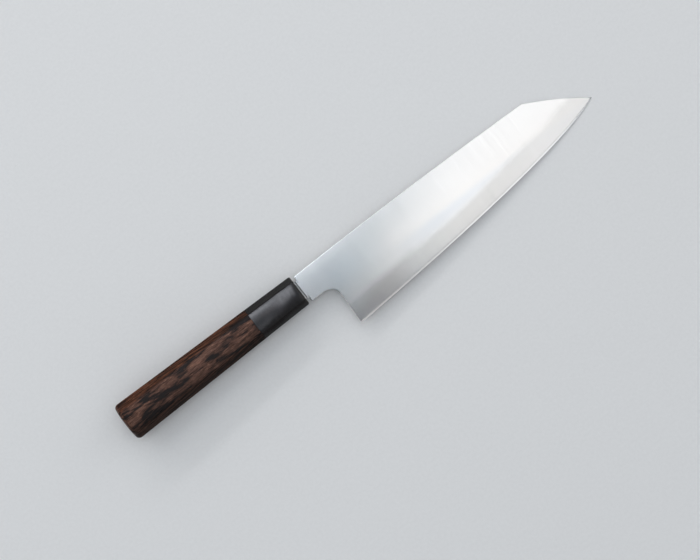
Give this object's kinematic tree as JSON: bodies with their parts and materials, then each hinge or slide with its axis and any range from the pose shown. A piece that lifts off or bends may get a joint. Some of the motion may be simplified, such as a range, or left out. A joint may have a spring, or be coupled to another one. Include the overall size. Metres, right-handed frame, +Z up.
{
  "type": "kiritsuke knife",
  "caption": "Japanese kitchen knife with a tall blade, nearly straight spine and slanted nose, a hidden tang, and an octagonal wooden handle with a black horn ferrule.",
  "frame": {"origin": "centre of the whole knife's bounding box on the surface that it lies on, left face down", "axes": "+X towards the tip along the knife's length, +Y towards the spine, +Z up out of the right face"},
  "size_m": [0.3698, 0.0547, 0.0252],
  "materials": {
    "core_steel": "fine satin with a brighter edge",
    "cladding_steel": "fine satin, grain across the blade",
    "black_horn": "polished horn",
    "dark_wood": "oiled wood with dark streaks",
    "light_wood": "bare wood",
    "cured_resin": "clear dark resin"
  },
  "bodies": {
    "root": {"blade_core": "core_steel", "blade_cladding_right": "cladding_steel", "blade_cladding_left": "cladding_steel", "horn_ferrule": "black_horn", "handle_body": "dark_wood", "slotted_dowel": "light_wood", "tang_resin": "cured_resin"}
  },
  "joints": []
}
